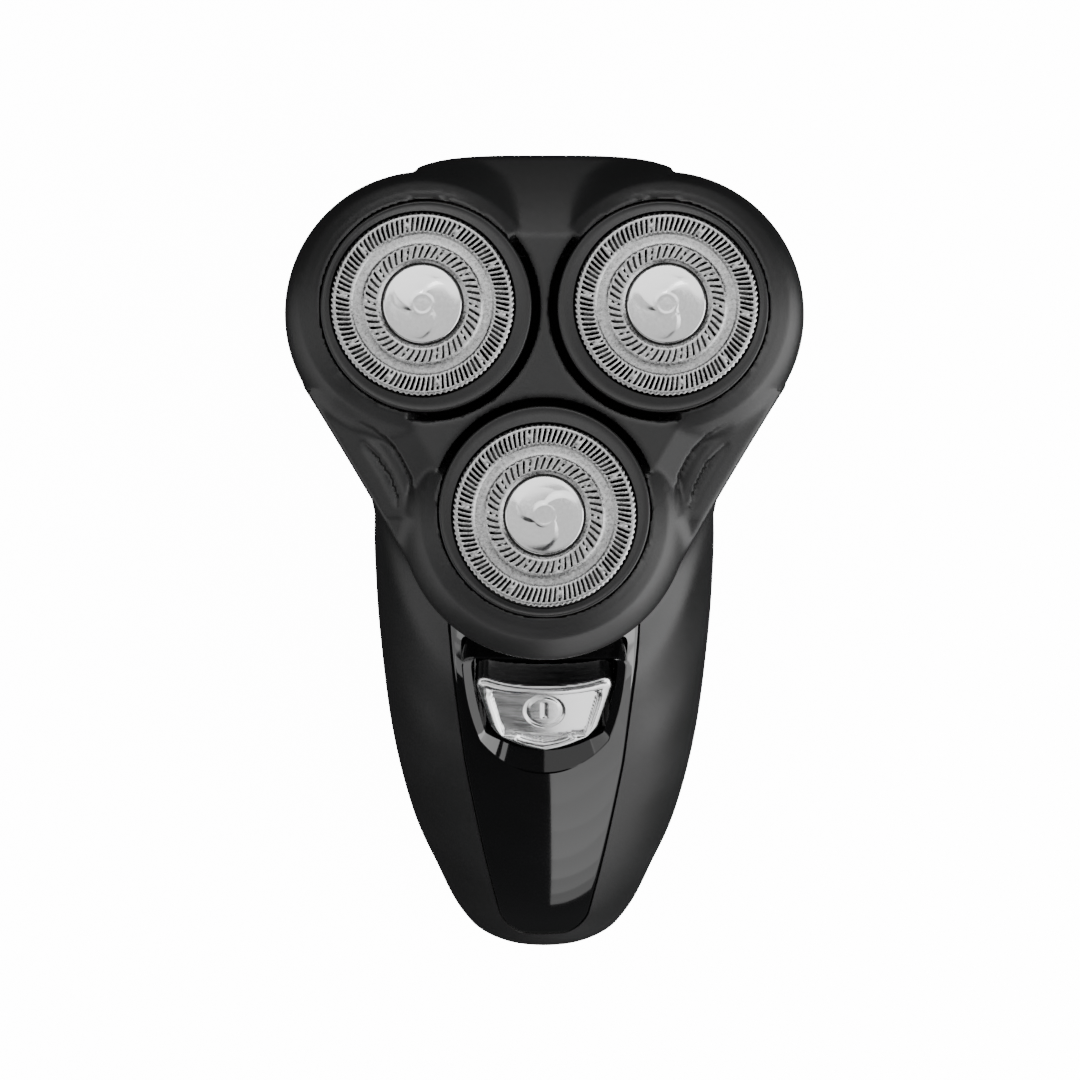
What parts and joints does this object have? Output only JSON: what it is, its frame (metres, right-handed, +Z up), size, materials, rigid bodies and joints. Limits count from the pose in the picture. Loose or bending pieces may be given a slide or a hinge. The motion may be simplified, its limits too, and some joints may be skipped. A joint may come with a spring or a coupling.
{
  "type": "electric shaver",
  "caption": "Cordless rotary shaver lying on its back: round cutters in a lobed head, slide switch on a glossy panel, tapering handle.",
  "frame": {"origin": "middle of the bounding box's underside, with the shaver lying on the flat strip of its back", "axes": "+X across the shaver, +Y along its back from the head to the charging socket, +Z up"},
  "size_m": [0.0656, 0.1306, 0.0617],
  "materials": {
    "black_shell": "satin black moulded plastic",
    "cutter_ring_plastic": "semi-gloss black plastic",
    "gloss_panel": "high-gloss black plastic",
    "slider_silver": "bright satin chrome-plated plastic",
    "cutter_steel": "fine ground stainless steel",
    "polished_cap": "polished stainless steel",
    "blade_steel": "hardened blade steel",
    "coupling_plastic": "natural acetal",
    "gear_plastic": "natural acetal",
    "spindle_steel": "plain steel",
    "inner_grey_plastic": "grey moulded plastic",
    "seal_rubber": "black rubber",
    "motor_steel": "zinc-plated steel",
    "pinion_brass": "brass",
    "socket_plastic": "black moulded plastic",
    "cell_wrap": "blue shrink wrap",
    "board_laminate": "green circuit board"
  },
  "bodies": {
    "handle": {"rear_housing": "black_shell", "front_housing": "black_shell", "front_panel": "gloss_panel", "switch_bezel": "gloss_panel", "slide_switch": "inner_grey_plastic", "circuit_board": "board_laminate", "battery": "cell_wrap", "battery_tab_inner": "motor_steel", "battery_tab_outer": "motor_steel", "motor": "motor_steel", "gear_plate": "inner_grey_plastic", "drive_deck": "inner_grey_plastic", "neck_seal": "seal_rubber", "charging_socket": "socket_plastic", "charging_pin_left": "pinion_brass", "charging_pin_right": "pinion_brass", "deck_screw_right": "spindle_steel", "deck_screw_left": "spindle_steel", "deck_screw_upper": "spindle_steel", "spindle_seal_right": "seal_rubber", "spindle_seal_left": "seal_rubber", "spindle_seal_lower": "seal_rubber", "spindle_spring_right": "spindle_steel", "spindle_spring_left": "spindle_steel", "spindle_spring_lower": "spindle_steel"},
    "switch_slider": {"power_slider": "slider_silver", "switch_lever": "gear_plastic"},
    "pinion": {"motor_pinion": "pinion_brass"},
    "head": {"head_frame": "black_shell", "cutter_retainer": "inner_grey_plastic"},
    "knob": {"retainer_knob": "inner_grey_plastic"},
    "gear_right": {"drive_gear_right": "gear_plastic", "drive_spindle_right": "spindle_steel"},
    "ring_right": {"cutter_ring_right": "cutter_ring_plastic"},
    "guard_right": {"outer_cutter_right": "cutter_steel", "centre_cap_right": "polished_cap"},
    "cutter_right": {"inner_cutter_right": "blade_steel", "cutter_coupling_right": "coupling_plastic"},
    "gear_left": {"drive_gear_left": "gear_plastic", "drive_spindle_left": "spindle_steel"},
    "ring_left": {"cutter_ring_left": "cutter_ring_plastic"},
    "guard_left": {"outer_cutter_left": "cutter_steel", "centre_cap_left": "polished_cap"},
    "cutter_left": {"inner_cutter_left": "blade_steel", "cutter_coupling_left": "coupling_plastic"},
    "gear_lower": {"drive_gear_lower": "gear_plastic", "drive_spindle_lower": "spindle_steel"},
    "ring_lower": {"cutter_ring_lower": "cutter_ring_plastic"},
    "guard_lower": {"outer_cutter_lower": "cutter_steel", "centre_cap_lower": "polished_cap"},
    "cutter_lower": {"inner_cutter_lower": "blade_steel", "cutter_coupling_lower": "coupling_plastic"}
  },
  "joints": [
    {"name": "power_slide", "type": "slide", "parent": "handle", "child": "switch_slider", "axis": [0, -0.9521, 0.3056], "range_m": [0, 0.003]},
    {"name": "head_lift", "type": "slide", "parent": "handle", "child": "head", "axis": [0, -0.4695, 0.8829], "range_m": [0, 0.02]},
    {"name": "retainer_turn", "type": "hinge", "parent": "head", "child": "knob", "pos_m": [0, -0.03949, 0.04001], "axis": [0, -0.4695, 0.8829], "range_deg": [0, 90]},
    {"name": "pinion_spin", "type": "hinge", "parent": "handle", "child": "pinion", "pos_m": [0, -0.03405, 0.02977], "axis": [0, -0.4695, 0.8829], "continuous": true},
    {"name": "gear_spin_right", "type": "hinge", "parent": "handle", "child": "gear_right", "pos_m": [-0.01524, -0.04182, 0.02563], "axis": [0, -0.4695, 0.8829], "continuous": true},
    {"name": "ring_tilt_right", "type": "hinge", "parent": "head", "child": "ring_right", "pos_m": [-0.01524, -0.05017, 0.04135], "axis": [1, 0, 0], "range_deg": [-3, 3], "stiffness_Nm_per_rad": 0.05},
    {"name": "guard_press_right", "type": "slide", "parent": "ring_right", "child": "guard_right", "axis": [0, 0.4695, -0.8829], "range_m": [0, 0.001], "stiffness_N_per_m": 600, "springref_m": -0.0004},
    {"name": "cutter_spin_right", "type": "hinge", "parent": "guard_right", "child": "cutter_right", "pos_m": [-0.01524, -0.05055, 0.04206], "axis": [0, -0.4695, 0.8829], "continuous": true},
    {"name": "gear_spin_left", "type": "hinge", "parent": "handle", "child": "gear_left", "pos_m": [0.01524, -0.04182, 0.02563], "axis": [0, -0.4695, 0.8829], "continuous": true},
    {"name": "ring_tilt_left", "type": "hinge", "parent": "head", "child": "ring_left", "pos_m": [0.01524, -0.05017, 0.04135], "axis": [1, 0, 0], "range_deg": [-3, 3], "stiffness_Nm_per_rad": 0.05},
    {"name": "guard_press_left", "type": "slide", "parent": "ring_left", "child": "guard_left", "axis": [0, 0.4695, -0.8829], "range_m": [0, 0.001], "stiffness_N_per_m": 600, "springref_m": -0.0004},
    {"name": "cutter_spin_left", "type": "hinge", "parent": "guard_left", "child": "cutter_left", "pos_m": [0.01524, -0.05055, 0.04206], "axis": [0, -0.4695, 0.8829], "continuous": true},
    {"name": "gear_spin_lower", "type": "hinge", "parent": "handle", "child": "gear_lower", "pos_m": [0, -0.01851, 0.03803], "axis": [0, -0.4695, 0.8829], "continuous": true},
    {"name": "ring_tilt_lower", "type": "hinge", "parent": "head", "child": "ring_lower", "pos_m": [0, -0.02686, 0.05375], "axis": [1, 0, 0], "range_deg": [-3, 3], "stiffness_Nm_per_rad": 0.05},
    {"name": "guard_press_lower", "type": "slide", "parent": "ring_lower", "child": "guard_lower", "axis": [0, 0.4695, -0.8829], "range_m": [0, 0.001], "stiffness_N_per_m": 600, "springref_m": -0.0004},
    {"name": "cutter_spin_lower", "type": "hinge", "parent": "guard_lower", "child": "cutter_lower", "pos_m": [0, -0.02724, 0.05445], "axis": [0, -0.4695, 0.8829], "continuous": true}
  ],
  "couplings": [
    {"joint": "pinion_spin", "follows": "gear_spin_right", "ratio": -1.4444},
    {"joint": "cutter_spin_right", "follows": "gear_spin_right", "ratio": 1},
    {"joint": "gear_spin_left", "follows": "gear_spin_right", "ratio": 1},
    {"joint": "cutter_spin_left", "follows": "gear_spin_right", "ratio": 1},
    {"joint": "gear_spin_lower", "follows": "gear_spin_right", "ratio": 1},
    {"joint": "cutter_spin_lower", "follows": "gear_spin_right", "ratio": 1}
  ]
}
